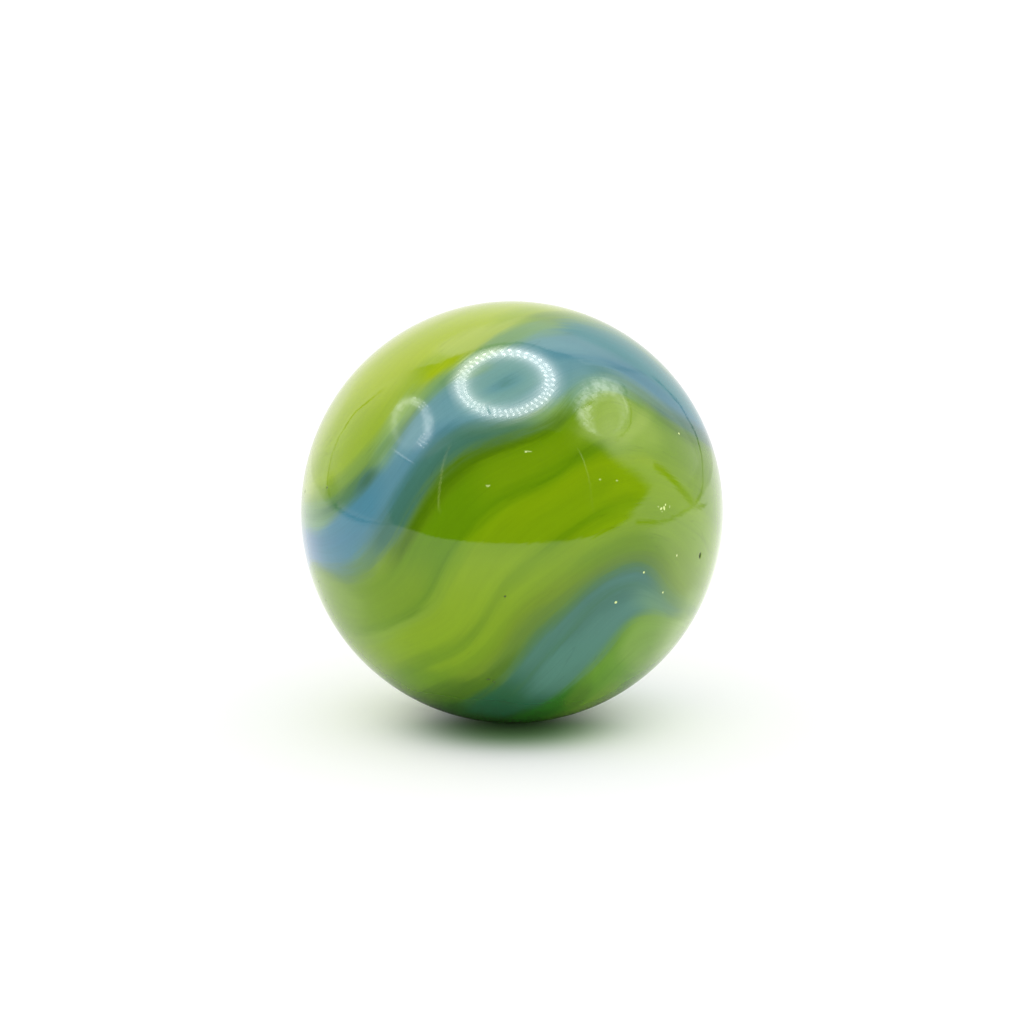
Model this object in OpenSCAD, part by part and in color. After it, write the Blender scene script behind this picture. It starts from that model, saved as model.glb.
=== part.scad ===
// Glass marble
// A solid ball of opaque glass, made as one piece: the swirled colours are
// fused through the same glass and have no parts of their own.
// The origin is the ball's centre, +Z is up, and the dimensions are millimetres.

/* [Marble] */
// Diameter of the ball: 16 mm is the common 5/8 inch player marble
marble_d = 16; // [12:0.5:25]
// Colour of the glass body
glass_colour = "yellowgreen"; // [yellowgreen, olivedrab, steelblue, teal]

/* [Quality] */
// Segments round the ball in a preview or a mesh export
segments = 128; // [48:8:256]

/* [Hidden] */

// The whole marble, one solid ball
module marble() {
    color(glass_colour)
        sphere(d = marble_d, $fn = segments);
}

marble();
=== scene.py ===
"""Glass marble: the looks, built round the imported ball.

Everything is in metres in the part's own frame: the origin is the ball's centre,
+Z is up and the front is -Y. Lengths in the studio are given in ball radii.
"""
import math

import bmesh
import bpy
import numpy as np
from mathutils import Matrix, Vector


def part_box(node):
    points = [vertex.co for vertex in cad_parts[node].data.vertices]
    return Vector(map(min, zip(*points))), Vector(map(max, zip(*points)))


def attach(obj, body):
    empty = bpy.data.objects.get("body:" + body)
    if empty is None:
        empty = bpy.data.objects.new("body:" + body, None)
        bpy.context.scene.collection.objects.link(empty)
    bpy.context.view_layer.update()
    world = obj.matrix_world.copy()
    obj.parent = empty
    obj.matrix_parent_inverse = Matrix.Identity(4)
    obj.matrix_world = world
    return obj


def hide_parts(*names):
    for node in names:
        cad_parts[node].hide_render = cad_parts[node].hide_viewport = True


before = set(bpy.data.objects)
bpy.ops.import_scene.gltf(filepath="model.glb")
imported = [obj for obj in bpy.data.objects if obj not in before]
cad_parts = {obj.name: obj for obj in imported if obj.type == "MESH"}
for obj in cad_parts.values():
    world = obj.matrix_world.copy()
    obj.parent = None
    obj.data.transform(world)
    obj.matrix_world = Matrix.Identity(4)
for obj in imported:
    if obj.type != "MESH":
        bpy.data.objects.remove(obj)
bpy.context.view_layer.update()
lo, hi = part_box("marble")
R = (hi[2] - lo[2]) / 2.0          # radius of the ball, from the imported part
scene = bpy.context.scene
scene.view_settings.view_transform = "Standard"


# ---------------------------------------------------------------- small helpers
def new_object(name, verts, faces, smooth=False):
    mesh = bpy.data.meshes.new(name)
    mesh.from_pydata([tuple(map(float, v)) for v in verts], [], faces)
    mesh.update()
    if smooth:
        mesh.shade_smooth()
    ob = bpy.data.objects.new(name, mesh)
    scene.collection.objects.link(ob)
    return ob


def emitter(name, colour, strength):
    mat = bpy.data.materials.new(name)
    mat.use_nodes = True
    nt = mat.node_tree
    nt.nodes.clear()
    out = nt.nodes.new("ShaderNodeOutputMaterial")
    em = nt.nodes.new("ShaderNodeEmission")
    em.inputs["Color"].default_value = (*colour, 1.0)
    em.inputs["Strength"].default_value = strength
    nt.links.new(em.outputs[0], out.inputs[0])
    mat.cycles.emission_sampling = "NONE"      # met by mirror rays only, so it is no lamp
    return mat


def studio_only(ob, mat):
    """A part of the light box that is only seen mirrored in the glass."""
    ob.data.materials.append(mat)
    ob.visible_camera = False
    ob.visible_diffuse = False
    ob.visible_transmission = False
    ob.visible_volume_scatter = False
    ob.visible_shadow = False
    return ob


def quad(name, corners, mat):
    ob = new_object(name, np.array(corners, float) * R, [(0, 1, 2, 3)])
    return studio_only(ob, mat)


# ---------------------------------------------------------------- camera
CAM_EL = math.radians(12.8)
CAM_DIST = 25.0
BALL_PX = 211.2                     # radius of the ball in a 1024-pixel frame
cam_data = bpy.data.cameras.new("camera")
cam_data.sensor_width = 36.0
cam_data.lens = 18.0 / (math.tan(math.asin(1.0 / CAM_DIST)) * 512.0 / BALL_PX)
cam_data.clip_start = 0.01
cam_data.clip_end = 20.0
cam = bpy.data.objects.new("camera", cam_data)
scene.collection.objects.link(cam)
cam.location = (0.0, -CAM_DIST * R * math.cos(CAM_EL), CAM_DIST * R * math.sin(CAM_EL))
cam.rotation_euler = (math.pi / 2 - CAM_EL, 0.0, 0.0)
scene.camera = cam

CAM_RIGHT = np.array([1.0, 0.0, 0.0])
CAM_UP = np.array([0.0, math.sin(CAM_EL), math.cos(CAM_EL)])
CAM_BACK = np.array([0.0, -math.cos(CAM_EL), math.sin(CAM_EL)])


def on_ball(x, y):
    """The ball's surface where the front view shows it: x right and y up from its centre, in outline radii."""
    k = math.tan(math.asin(1.0 / CAM_DIST))
    d = -CAM_BACK + CAM_RIGHT * x * k + CAM_UP * y * k
    d /= np.linalg.norm(d)
    eye = CAM_BACK * CAM_DIST
    b = eye @ d
    t = -b - math.sqrt(max(b * b - (eye @ eye - 1.0), 0.0))
    return eye + t * d, d


def mirrored_at(x, y, dist):
    """The place, dist radii from the ball's centre, that the front view shows mirrored at (x, y)."""
    p, d = on_ball(x, y)
    r = d - 2 * (d @ p) * p
    b = p @ r
    return p + r * (-b + math.sqrt(b * b + dist * dist - 1.0))


# ---------------------------------------------------------------- studio
BOX_X, BOX_FRONT, BOX_BACK, BOX_TOP = 13.8, -16.0, 11.6, 26.6
FLOOR_Z = -1.0

# A white dome gives all the soft light: brightest half way up, dimmer overhead. The light box
# below is seen only in the glass.
world = bpy.data.worlds.new("studio_white")
scene.world = world
world.use_nodes = True
wt = world.node_tree
turn = wt.nodes.new("ShaderNodeTexCoord")
split = wt.nodes.new("ShaderNodeSeparateXYZ")
zones = wt.nodes.new("ShaderNodeValToRGB")
wt.links.new(turn.outputs["Generated"], split.inputs[0])
wt.links.new(split.outputs["Z"], zones.inputs["Fac"])
DOME = ((0.10, 1.22), (0.32, 1.38), (0.54, 1.62), (0.74, 1.84), (0.90, 0.84), (1.0, 0.62))   # sine of the height, level
while len(zones.color_ramp.elements) < len(DOME):
    zones.color_ramp.elements.new(0.5)
for stop, (at, level) in zip(zones.color_ramp.elements, DOME):
    stop.position = at
    stop.color = (level / 2, level / 2, level / 2, 1.0)
wt.links.new(zones.outputs["Color"], wt.nodes["Background"].inputs["Color"])
wt.nodes["Background"].inputs["Strength"].default_value = 2.0

# the floor: pale, with a painted contact shadow (darker and greener just in front of the ball) and a painted lighter
# ring round it, carried by fine rings of mesh near the ball
floor_rings = [0.0] + [0.05 * i for i in range(1, 21)] + [1.1, 1.2, 1.35, 1.5, 1.75, 2.0, 3.0, 6.0, 30.0, 400.0]
floor_verts, floor_faces, FN = [(0.0, 0.0, FLOOR_Z)], [], 64
for fr in floor_rings[1:]:
    floor_verts += [(fr * math.cos(2 * math.pi * j / FN), fr * math.sin(2 * math.pi * j / FN), FLOOR_Z) for j in range(FN)]
floor_faces = [(0, 1 + j, 1 + (j + 1) % FN) for j in range(FN)]
for i in range(len(floor_rings) - 2):
    a0, b0 = 1 + i * FN, 1 + (i + 1) * FN
    floor_faces += [(a0 + j, b0 + j, b0 + (j + 1) % FN, a0 + (j + 1) % FN) for j in range(FN)]
floor = new_object("floor", np.array(floor_verts) * R, floor_faces)
fx, fy = np.array(floor_verts)[:, :2].T
painted_shadow_core = np.exp(-np.hypot(fx / 0.425, (fy + 0.207) / np.where(fy < -0.207, 0.382, 0.212)) ** 3.085)   # painted shadow, darkest just in front
# a painted lighter ring on the floor round the ball
painted_light_ring = 1.0 + 0.098 * np.exp(-((np.hypot(fx, fy) - 0.75) / 0.5) ** 2)
shade = np.ones((len(fx), 4), np.float32)
for i, depth in enumerate((0.805, 0.585, 0.860)):     # the painted shadow is greener: what light is left there has come through green glass
    shade[:, i] = 0.9 * np.maximum(painted_light_ring - depth * painted_shadow_core, 0.02)
att = floor.data.attributes.new("shade", "FLOAT_COLOR", "POINT")
att.data.foreach_set("color", shade.ravel())
fmat = bpy.data.materials.new("pale_floor")
fmat.use_nodes = True
fb = fmat.node_tree.nodes["Principled BSDF"]
fa = fmat.node_tree.nodes.new("ShaderNodeAttribute")
fa.attribute_name = "shade"
fmat.node_tree.links.new(fa.outputs["Color"], fb.inputs["Base Color"])
fb.inputs["Roughness"].default_value = 1.0
fb.inputs["Specular IOR Level"].default_value = 0.0
floor.data.materials.append(fmat)
floor.visible_glossy = False

X, Y0, Y1, ZT, ZF = BOX_X, BOX_FRONT, BOX_BACK, BOX_TOP, FLOOR_Z
SHEET = 1.10
sheet_mat = emitter("white_sheet", (1.0, 1.0, 1.0), SHEET)
top_mat = emitter("silver_top", (1.0, 1.0, 1.0), 0.22)
dark_mat = emitter("dark_room", (1.0, 1.0, 1.0), 0.03)
quad("ceiling", [(-X, Y0, ZT), (-X, Y1, ZT), (X, Y1, ZT), (X, Y0, ZT)], top_mat)
quad("opening", [(-X, Y0, ZF), (-X, Y0, ZT), (X, Y0, ZT), (X, Y0, ZF)], dark_mat)
quad("back_sheet", [(-X, Y1, ZF), (X, Y1, ZF), (X, Y1, ZT), (-X, Y1, ZT)], sheet_mat)
def smooth(x, a, b):
    t = np.clip((x - a) / (b - a), 0.0, 1.0)
    return t * t * (3 - 2 * t)


def bump(x, a, b, soft):
    return smooth(x, a - soft, a + soft) * (1.0 - smooth(x, b - soft, b + soft))


def float_attribute(ob, name, values):
    att = ob.data.attributes.new(name, "FLOAT", "POINT")
    att.data.foreach_set("value", np.asarray(values, np.float32))


def glow_material(ob, name, glow, colour=(1.0, 1.0, 1.0), cover=None):
    """Light from the attribute "glow". With cover, what lies behind shows through where cover is low."""
    float_attribute(ob, "glow", glow)
    mat = emitter(name, colour, 1.0)
    nt = mat.node_tree
    an = nt.nodes.new("ShaderNodeAttribute")
    an.attribute_name = "glow"
    nt.links.new(an.outputs["Fac"], nt.nodes["Emission"].inputs["Strength"])
    if cover is not None:
        float_attribute(ob, "cover", cover)
        cn = nt.nodes.new("ShaderNodeAttribute")
        cn.attribute_name = "cover"
        mix = nt.nodes.new("ShaderNodeMixShader")
        clear = nt.nodes.new("ShaderNodeBsdfTransparent")
        nt.links.new(cn.outputs["Fac"], mix.inputs[0])
        nt.links.new(clear.outputs[0], mix.inputs[1])
        nt.links.new(nt.nodes["Emission"].outputs[0], mix.inputs[2])
        nt.links.new(mix.outputs[0], nt.nodes["Material Output"].inputs[0])
    return mat


def side_wall(name, side, fold, fold_soft, rear, middle, floor_line, floor_soft, wedge=0.0):
    """A silver side wall. Its rear shows the white sheet, its front the dark room, its foot the floor."""
    ys = np.linspace(Y0, Y1, 85)
    zs = np.concatenate([np.linspace(ZF, 3.0, 41), np.linspace(3.4, ZT, 60)])
    yy, zz = np.meshgrid(ys, zs, indexing="ij")
    verts = np.stack([np.full(yy.size, side * X), yy.ravel(), zz.ravel()], 1)
    idx = np.arange(verts.shape[0]).reshape(yy.shape)
    q = np.stack([idx[:-1, :-1], idx[1:, :-1], idx[1:, 1:], idx[:-1, 1:]], -1).reshape(-1, 4)
    ob = new_object(name, verts * R, [tuple(int(i) for i in f) for f in q])
    y, z = verts[:, 1], verts[:, 2]
    edge = np.interp(z, [k[0] for k in fold], [k[1] for k in fold])
    back = middle + (rear - middle) * smooth(y, 1.0, Y1)
    back += wedge * bump(y, -6.0, -1.5, 1.5) * bump(z, 8.0, 14.0, 2.0)
    back *= 1.0 - 0.85 * smooth(z, 13.0, 23.0)
    glow = 0.04 + (back - 0.04) * smooth(y, edge - fold_soft, edge + fold_soft)
    foot_z = np.interp(y, [k[0] for k in floor_line], [k[1] for k in floor_line])
    foot = 1.0 - smooth(z, foot_z - floor_soft, foot_z + floor_soft)
    glow += (1.05 - glow) * foot
    return studio_only(ob, glow_material(ob, name, glow))


side_wall("side_left", -1,
          [(0.2, -6.2), (1.4, -5.4), (2.6, -5.5), (5.6, -6.7), (8.8, -7.4), (12.0, -9.8), (14.7, -11.6), (19.5, -13.9), (26.6, -16.0)],
          0.7, 1.25, 0.62, [(-16.0, -1.1), (-13.2, -0.62), (-10.8, -0.34), (-8.7, -0.1), (-5.0, -0.03)], 0.15)
side_wall("side_right", 1,
          [(1.4, -6.0), (2.2, -3.6), (3.0, -2.0), (5.2, -3.4), (6.9, -4.8), (9.3, -6.3), (12.0, -7.0), (18.3, -10.3), (26.6, -14.0)],
          1.3, 1.35, 1.15, [(-16.0, -1.1), (-13.0, -0.70), (-10.6, -0.25), (-8.9, 0.14), (-7.5, 0.50), (-5.6, 0.84), (-3.7, 1.1)], 0.2, wedge=0.5)


def mirrored_floor():
    """The floor as the glass shows it: the ball's own soft shadow, and more light behind on both sides."""
    rings = np.concatenate([np.linspace(0, 3, 31), np.linspace(3.4, 22, 24)])
    n = 96
    a = np.arange(n) * 2 * math.pi / n
    verts = [(0.0, 0.0, ZF + 0.002)]
    for r in rings[1:]:
        verts += [(r * math.cos(t), r * math.sin(t), ZF + 0.002) for t in a]
    faces = [(0, 1 + j, 1 + (j + 1) % n) for j in range(n)]
    for i in range(len(rings) - 2):
        k, m = 1 + i * n, 1 + (i + 1) * n
        faces += [(k + j, m + j, m + (j + 1) % n, k + (j + 1) % n) for j in range(n)]
    verts = np.array(verts)
    ob = new_object("mirrored_floor", verts * R, faces)
    rho = np.hypot(verts[:, 0], verts[:, 1])
    turn = np.degrees(np.arctan2(verts[:, 1], verts[:, 0]))
    glow = FLOOR_GLOW * np.interp(rho, (0, 0.2, 0.33, 0.46, 0.59, 0.72, 0.84, 1.0, 1.3, 1.8, 3.0),
                                  (0, 0.01, 0.04, 0.13, 0.31, 0.57, 0.73, 0.83, 0.90, 0.95, 1.0))
    glow *= 1.0 + 0.46 * bump(turn, -14.0, 66.0, 12.0) * smooth(rho, 1.1, 2.6)
    left = np.where(turn < 0, turn + 360.0, turn)
    glow *= 1.0 + 0.38 * bump(left, 118.0, 192.0, 12.0) * smooth(rho, 1.1, 2.4)
    mat = glow_material(ob, "mirrored_floor", glow)
    tint_of = np.ones((len(rho), 4), np.float32)      # light that came through the glass tints it in front of the ball
    tint_of[:, 0] = np.interp(rho, (0, 0.7, 1.5, 3), (0.5, 0.65, 0.9, 1.0))
    tint_of[:, 2] = np.interp(rho, (0, 0.7, 1.5, 3, 5), (0.3, 0.4, 0.6, 0.85, 1.0))
    aside = np.abs((turn + 270.0) % 360.0 - 180.0)
    tint_of[:, :3] = 1.0 - (1.0 - tint_of[:, :3]) * (1.0 - 0.85 * smooth(aside, 35.0, 95.0))[:, None]
    att = ob.data.attributes.new("tint", "FLOAT_COLOR", "POINT")
    att.data.foreach_set("color", tint_of.ravel())
    an = mat.node_tree.nodes.new("ShaderNodeAttribute")
    an.attribute_name = "tint"
    mat.node_tree.links.new(an.outputs["Color"], mat.node_tree.nodes["Emission"].inputs["Color"])
    return studio_only(ob, mat)


FLOOR_GLOW = 1.06
mirrored_floor()


def strip(name, path, half_deg, level, cover=1.0, dist=9.5, colour=(1.0, 1.0, 1.0)):
    """A thin strip of the light box, given by where the front view shows it mirrored."""
    path = np.array(path, float)
    last = len(path) - 1
    at = np.linspace(0, last, 8 * last + 1)
    xy = np.stack([np.interp(at, np.arange(last + 1), path[:, i]) for i in (0, 1)], 1)
    for _ in range(5):                                # round the corners a little
        xy[1:-1] = 0.25 * xy[:-2] + 0.5 * xy[1:-1] + 0.25 * xy[2:]
    p = np.array([mirrored_at(x, y, dist) for x, y in xy])
    across = np.cross(p, np.gradient(p, axis=0))
    across /= np.linalg.norm(across, axis=1)[:, None]
    w = math.radians(half_deg) * dist
    n = len(p)
    cov = np.interp(np.linspace(0, 1, n), np.linspace(0, 1, np.size(cover)), np.atleast_1d(cover)) if np.size(cover) > 1 else np.full(n, float(cover))
    cov = cov * smooth(np.arange(n), -1, 5) * (1 - smooth(np.arange(n), n - 6, n))
    lev = np.interp(np.linspace(0, 1, n), np.linspace(0, 1, np.size(level)), np.atleast_1d(level)) if np.size(level) > 1 else np.full(n, float(level))
    rows = ((-1.6, 0.0), (-0.5, 1.0), (0.5, 1.0), (1.6, 0.0))
    verts = np.concatenate([p + across * w * k for k, _ in rows])
    faces = [(r * n + i, r * n + i + 1, (r + 1) * n + i + 1, (r + 1) * n + i) for r in range(3) for i in range(n - 1)]
    ob = new_object(name, verts * R, faces)
    return studio_only(ob, glow_material(ob, name, np.tile(lev, 4), colour, cover=np.concatenate([cov * c for _, c in rows])))


# the box's edges, the foot of its walls and the folds in them
strip("seam_right", [(0.861, 0.034), (0.890, 0.073), (0.904, 0.125), (0.903, 0.201), (0.899, 0.263), (0.884, 0.327), (0.866, 0.381),
                     (0.837, 0.433), (0.795, 0.510), (0.748, 0.563), (0.701, 0.611), (0.653, 0.652)],
      0.58, (0.30, 0.45, 0.60, 0.60, 0.45, 0.05, 0.0, 0.0, 0.10, 0.15, 0.20, 0.3), (1, 1, 0.9, 0.9, 0.9, 1, 1, 1, 1, 1, 0.9, 0.5))
strip("seam_left", [(-0.854, 0.050), (-0.868, 0.097), (-0.875, 0.144), (-0.869, 0.196), (-0.851, 0.279), (-0.816, 0.362),
                    (-0.774, 0.430), (-0.734, 0.481), (-0.674, 0.528), (-0.587, 0.599)],
      0.52, (0.10, 0.10, 0.20, 0.35, 0.40, 0.30, 0.10, 0.05, 0.10, 0.2), (1, 1, 1, 0.9, 0.8, 0.9, 1, 1, 0.9, 0.5))
strip("seam_top", [(-0.360, 0.701), (-0.270, 0.734), (-0.199, 0.757), (-0.120, 0.785), (-0.043, 0.796), (0.038, 0.803), (0.117, 0.785),
                   (0.180, 0.761), (0.251, 0.746), (0.308, 0.727), (0.464, 0.689), (0.653, 0.651)],
      0.75, (0.10, 0.06, 0.0, 0.0, 0.0, 0.0, 0.0, 0.0, 0.05, 0.1, 0.2, 0.3), (0.6, 1, 1, 1, 1, 1, 1, 1, 0.8, 0.7, 0.6, 0.5))
strip("fold_right", [(0.878, 0.016), (0.814, 0.092), (0.772, 0.142), (0.729, 0.182), (0.686, 0.213), (0.664, 0.226)],
      1.5, (0.15, 0.15, 0.1, 0.1, 0.15, 0.2), (0.7, 0.75, 1, 1, 0.9, 0.7), colour=(0.2, 0.3, 1.0))
strip("floor_edge_right", [(0.594, -0.049), (0.682, -0.049), (0.748, -0.037), (0.800, -0.005), (0.861, 0.026)], 0.42, (0.05, 0.15, 0.35, 0.45, 0.45), (1, 1, 1, 1, 1))
strip("floor_edge_dark", [(0.580, -0.0490), (0.612, -0.0480), (0.660, -0.0470), (0.690, -0.0465)], 0.75, 0.0, 1.0, dist=9.4)
strip("floor_seam_right", [(0.866, 0.028), (0.908, 0.026), (0.961, 0.034), (0.985, 0.038)], 0.5, 0.5, 1.0)
strip("floor_edge_left", [(-0.854, 0.050), (-0.822, 0.013), (-0.774, -0.017), (-0.727, -0.037), (-0.656, -0.050), (-0.560, -0.064)],
      0.40, (0.10, 0.10, 0.05, 0.05, 0.10, 0.2), (1, 1, 1, 1, 0.9, 0.5))
strip("front_edge_left", [(-0.284, 0.329), (-0.310, 0.282), (-0.327, 0.230), (-0.339, 0.149), (-0.348, 0.064), (-0.344, -0.012)],
      0.36, (1.2, 1.6, 2.0, 2.4, 2.4, 1.8), (0.5, 0.8, 1, 1, 1, 0.7), colour=(1.0, 1.0, 0.45))
strip("front_edge_right", [(0.310, 0.305), (0.336, 0.253), (0.360, 0.178), (0.374, 0.102), (0.381, 0.031), (0.388, -0.012)],
      0.28, (2.2, 2.2, 1.4, 0.8, 0.7, 0.6), (0.8, 1, 0.8, 0.5, 0.5, 0.4), colour=(1.0, 1.0, 0.55))
strip("fold_left", [(-0.572, 0.300), (-0.540, 0.280), (-0.500, 0.254), (-0.464, 0.230)], 0.30, (2.2, 3.4, 2.8, 3.4), 1.0)
strip("corner_left", [(-0.884, 0.140), (-0.862, 0.118), (-0.842, 0.090), (-0.815, 0.055)], 3.4, 0.25, (0.5, 0.85, 0.8, 0.4))
strip("fold_left_shade", [(-0.560, 0.280), (-0.521, 0.255), (-0.470, 0.222)], 0.30, 0.0, (0.6, 0.9, 0.6), dist=9.4)
strip("top_edge_left", [(-0.374, 0.615), (-0.351, 0.552), (-0.327, 0.520), (-0.317, 0.466), (-0.303, 0.419)], 0.50, 0.0, (0.6, 1, 1, 0.8, 0.5))
strip("top_edge_right", [(0.282, 0.727), (0.274, 0.623), (0.265, 0.528), (0.260, 0.481)], 0.42, 0.0, (0.7, 1, 1, 0.6))
strip("corner_right", [(0.496, 0.627), (0.521, 0.604), (0.543, 0.575), (0.540, 0.547)], 0.5, 0.05, (0.6, 1, 0.9, 0.4))

# the lamp ring on the ceiling: two rows of small lamps on a glowing base
RING_C = (-1.5, -1.4)
RING_LONG = 1.10                   # slightly longer from front to back


def ring_points(radius, z, n, phase=0.0):
    a = np.arange(n) * 2 * math.pi / n + phase
    return np.stack([RING_C[0] + radius * np.cos(a), RING_C[1] + RING_LONG * radius * np.sin(a), np.full(n, z)], 1)


def lamp_base(profile, n=120):
    verts = np.concatenate([ring_points(r, ZT - 0.10, n) for r, _ in profile])
    glow = np.concatenate([np.full(n, g) for _, g in profile])
    faces = [(k * n + j, k * n + (j + 1) % n, (k + 1) * n + (j + 1) % n, (k + 1) * n + j)
             for k in range(len(profile) - 1) for j in range(n)]
    ob = new_object("lamp_ring_base", verts * R, faces)
    return studio_only(ob, glow_material(ob, "lamp_ring_glow", glow, (1.0, 1.0, 0.98)))


lamp_base([(0.0, 0.6), (2.7, 0.85), (4.5, 1.2), (5.4, 1.6), (6.3, 2.5), (7.2, 4.6), (7.8, 7.2), (8.9, 9.0), (9.9, 8.2), (10.75, 4.4), (11.6, 1.9),
           (12.5, 0.7), (13.6, 0.2)])
verts, faces = [], []
for row, rr in enumerate((8.4, 9.7)):
    for c in ring_points(rr, ZT - 0.2, 40, phase=0.04 * row):
        out = np.array([c[0] - RING_C[0], c[1] - RING_C[1]])
        out /= np.linalg.norm(out)
        side = np.array([-out[1], out[0]])
        k = len(verts)
        for j in range(10):                           # each lamp a little longer across the ring
            t = j * 2 * math.pi / 10
            p = out * 0.50 * math.cos(t) + side * 0.34 * math.sin(t)
            verts.append((c[0] + p[0], c[1] + p[1], c[2]))
        faces.append(tuple(range(k, k + 10)))
lamps = new_object("lamps", np.array(verts) * R, faces)
studio_only(lamps, emitter("lamp_light", (1.0, 1.0, 0.98), 17.0))
strip("lamp_ring_gap", [(-0.117, 0.500), (-0.108, 0.478), (-0.103, 0.455)], 0.5, 0.5, 0.9)


def mirrored_ring(name, inner, outer, tilt, strength, grain, n=96):
    """The lamp ring as a silver wall shows it: a soft, uneven oval between two ellipses (x, y, rx, ry)."""
    steps = (-0.4, -0.15, 0.1, 0.35, 0.6, 0.85, 1.1, 1.4)
    level = (0.0, 0.2, 0.65, 1.0, 1.0, 0.7, 0.25, 0.0)
    inner, outer = np.array(inner), np.array(outer)
    verts, glow = [], []
    for s_, l_ in zip(steps, level):
        cx, cy, rx, ry = inner + (outer - inner) * s_
        for j in range(n):
            t = j * 2 * math.pi / n
            u, v = rx * math.cos(t), ry * math.sin(t)
            verts.append(mirrored_at(cx + u * math.cos(tilt) - v * math.sin(tilt),
                                     cy + u * math.sin(tilt) + v * math.cos(tilt), 9.0))
            glow.append(l_ * max(strength(math.degrees(t)), 0.0))
    faces = [(k * n + j, k * n + (j + 1) % n, (k + 1) * n + (j + 1) % n, (k + 1) * n + j)
             for k in range(len(steps) - 1) for j in range(n)]
    ob = new_object(name, np.array(verts) * R, faces)
    mat = glow_material(ob, name, glow, (0.97, 1.0, 1.0))
    nt = mat.node_tree
    em, glow_out = nt.nodes["Emission"], nt.nodes["Attribute"].outputs["Fac"]
    where = nt.nodes.new("ShaderNodeTexCoord")         # the lamps run together into a mottled band
    spots = nt.nodes.new("ShaderNodeTexNoise")
    spots.inputs["Scale"].default_value = 3.2 / R
    spots.inputs["Detail"].default_value = 2.0
    nt.links.new(where.outputs["Object"], spots.inputs["Vector"])
    spread = nt.nodes.new("ShaderNodeMapRange")
    nt.links.new(spots.outputs["Fac"], spread.inputs["Value"])
    for key, v in (("From Min", 0.38), ("From Max", 0.62), ("To Min", 1.0 - grain), ("To Max", 1.0 + grain)):
        spread.inputs[key].default_value = v
    times = nt.nodes.new("ShaderNodeMath")
    times.operation = "MULTIPLY"
    nt.links.new(glow_out, times.inputs[0])
    nt.links.new(spread.outputs["Result"], times.inputs[1])
    nt.links.new(times.outputs[0], em.inputs["Strength"])
    add = nt.nodes.new("ShaderNodeAddShader")          # the wall goes on behind the ring's soft edges
    clear = nt.nodes.new("ShaderNodeBsdfTransparent")
    nt.links.new(em.outputs[0], add.inputs[0])
    nt.links.new(clear.outputs[0], add.inputs[1])
    nt.links.new(add.outputs[0], nt.nodes["Material Output"].inputs[0])
    return studio_only(ob, mat)


def around(levels):
    """A level for every angle, from (degrees, level) stations."""
    a = [k[0] for k in levels] + [levels[0][0] + 360]
    v = [k[1] for k in levels] + [levels[0][1]]
    return lambda t: float(np.interp((t - a[0]) % 360 + a[0], a, v))


def mirrored_lamps(name, centre, radii, turns, size, strength):
    """Single lamps still told apart in the mirrored ring: rows of small discs along an oval."""
    verts, faces = [], []
    for row, (rx, ry) in enumerate(radii):
        for i, deg in enumerate(turns):
            t = math.radians(deg + 4.0 * row)
            x, y = centre[0] + rx * math.cos(t), centre[1] + ry * math.sin(t)
            k, s = len(verts), size * (0.7 + 0.3 * ((i * 5 + row * 3) % 4) / 3)
            for j in range(6):
                u = j * math.pi / 3
                verts.append(mirrored_at(x + s * math.cos(u), y + s * math.sin(u), 8.8))
            faces.append(tuple(range(k, k + 6)))
    ob = new_object(name, np.array(verts) * R, faces)
    return studio_only(ob, emitter(name, (0.97, 1.0, 1.0), strength))


def mirrored_haze(name, centre, radii, level, colour=(1.0, 1.0, 1.0), n=48):
    """A soft round haze that adds to what a wall shows."""
    verts, glow = [], []
    for s_, l_ in ((0.05, 1.0), (0.4, 1.0), (0.65, 0.85), (0.85, 0.5), (1.05, 0.15), (1.25, 0.0)):
        for j in range(n):
            t = j * 2 * math.pi / n
            verts.append(mirrored_at(centre[0] + s_ * radii[0] * math.cos(t), centre[1] + s_ * radii[1] * math.sin(t), 9.2))
            glow.append(level * l_)
    faces = [(k * n + j, k * n + (j + 1) % n, (k + 1) * n + (j + 1) % n, (k + 1) * n + j) for k in range(5) for j in range(n)]
    faces.append(tuple(range(n)))
    ob = new_object(name, np.array(verts) * R, faces)
    mat = glow_material(ob, name, glow, colour)
    nt = mat.node_tree
    add, clear = nt.nodes.new("ShaderNodeAddShader"), nt.nodes.new("ShaderNodeBsdfTransparent")
    nt.links.new(nt.nodes["Emission"].outputs[0], add.inputs[0])
    nt.links.new(clear.outputs[0], add.inputs[1])
    nt.links.new(add.outputs[0], nt.nodes["Material Output"].inputs[0])
    return studio_only(ob, mat)


mirrored_haze("haze_in_left_wall", (-0.490, 0.405), (0.110, 0.135), 0.95)
mirrored_haze("haze_in_right_wall", (0.450, 0.460), (0.100, 0.120), 0.6, (1.0, 1.0, 0.6))
mirrored_ring("ring_in_left_wall", (-0.481, 0.417, 0.066, 0.092), (-0.474, 0.417, 0.100, 0.128), 0.0,
              around([(0, 4.8), (25, 4.0), (40, 2.4), (60, 2.2), (80, 3.4), (110, 3.4), (140, 3.6), (170, 2.4), (200, 1.2), (230, 0.4), (270, 0.3), (295, 1.6), (315, 2.2), (335, 3.6), (350, 4.8)]), 0.4)
mirrored_lamps("lamps_in_left_wall", (-0.474, 0.417), ((0.070, 0.092), (0.084, 0.108), (0.098, 0.122)),
               (-68, -56, -44, -32, 36, 48, 60, 72), 0.0042, 11.0)
mirrored_ring("ring_in_right_wall", (0.443, 0.457, 0.070, 0.095), (0.428, 0.495, 0.125, 0.135), 0.0,
              around([(0, 1.2), (30, 1.0), (60, 2.6), (90, 4.2), (120, 4.6), (150, 4.2), (180, 4.4), (210, 4.2), (235, 2.4), (265, 1.0), (300, 0.8)]), 0.45)
strip("ring_right_edge", [(0.497, 0.590), (0.528, 0.540), (0.550, 0.480), (0.540, 0.420)], 0.38, (3.4, 2.6, 2.4, 1.4), (0.9, 1, 0.9, 0.5))
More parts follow.
